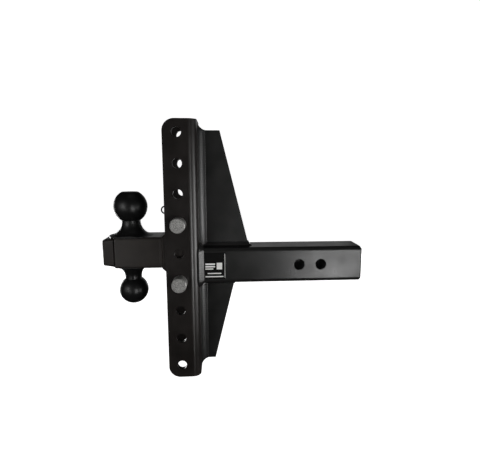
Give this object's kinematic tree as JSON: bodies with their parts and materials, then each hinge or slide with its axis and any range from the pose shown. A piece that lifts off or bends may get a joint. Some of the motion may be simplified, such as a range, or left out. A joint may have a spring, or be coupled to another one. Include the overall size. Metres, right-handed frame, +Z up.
{
  "type": "trailer hitch with ball",
  "caption": "Adjustable receiver hitch: square shank, gusseted upright channel, and a ball mount with a large and a small ball, held by headed pins and hairpin clips.",
  "frame": {"origin": "centre of the outer receiver-pin hole, on the shank's axis", "axes": "+X along the shank towards the receiver (the balls are at -X), +Y along the receiver pin, away from the mount pins' heads, +Z up when fitted to a vehicle"},
  "size_m": [0.4592, 0.1228, 0.451],
  "materials": {
    "frame_coat": "satin black powder coat on steel",
    "weld_coat": "smooth weld beads under the same black coat",
    "mount_coat": "satin black powder coat on steel",
    "ball_coat": "smoother black coat on turned steel",
    "pin_zinc": "dull zinc plate",
    "clip_wire": "plated spring wire",
    "label_print": "black vinyl with plain white marks"
  },
  "bodies": {
    "frame": {"shank": "frame_coat", "channel": "frame_coat", "gusset_upper": "frame_coat", "gusset_lower": "frame_coat", "weld_gusset_upper_web": "weld_coat", "weld_gusset_lower_web": "weld_coat", "weld_gusset_upper_foot": "weld_coat", "weld_gusset_lower_foot": "weld_coat", "weld_shank_web": "weld_coat", "label": "label_print"},
    "ball_mount": {"mount_insert": "mount_coat", "mount_arm": "mount_coat", "weld_arm_insert": "weld_coat", "ball_large": "ball_coat", "ball_small": "ball_coat", "weld_ball_large": "weld_coat", "weld_ball_small": "weld_coat"},
    "upper_pin": {"pin_upper": "pin_zinc"},
    "lower_pin": {"pin_lower": "pin_zinc"},
    "upper_clip": {"clip_upper": "clip_wire"},
    "lower_clip": {"clip_lower": "clip_wire"}
  },
  "joints": [
    {"name": "height_adjust", "type": "slide", "parent": "frame", "child": "ball_mount", "axis": [0, 0, 1], "range_m": [-0.1524, 0.1524]},
    {"name": "pin_upper_pull", "type": "slide", "parent": "ball_mount", "child": "upper_pin", "axis": [0, -1, 0], "range_m": [0, 0.11]},
    {"name": "clip_upper_pull", "type": "slide", "parent": "ball_mount", "child": "upper_clip", "axis": [-0.972, 0, 0.2351], "range_m": [0, 0.055]},
    {"name": "pin_lower_pull", "type": "slide", "parent": "ball_mount", "child": "lower_pin", "axis": [0, -1, 0], "range_m": [0, 0.11]},
    {"name": "clip_lower_pull", "type": "slide", "parent": "ball_mount", "child": "lower_clip", "axis": [0.9903, 0, 0.1392], "range_m": [0, 0.055]}
  ],
  "couplings": [
    {"joint": "clip_upper_pull", "follows": "pin_upper_pull", "ratio": 0.5},
    {"joint": "clip_lower_pull", "follows": "pin_lower_pull", "ratio": 0.5}
  ]
}
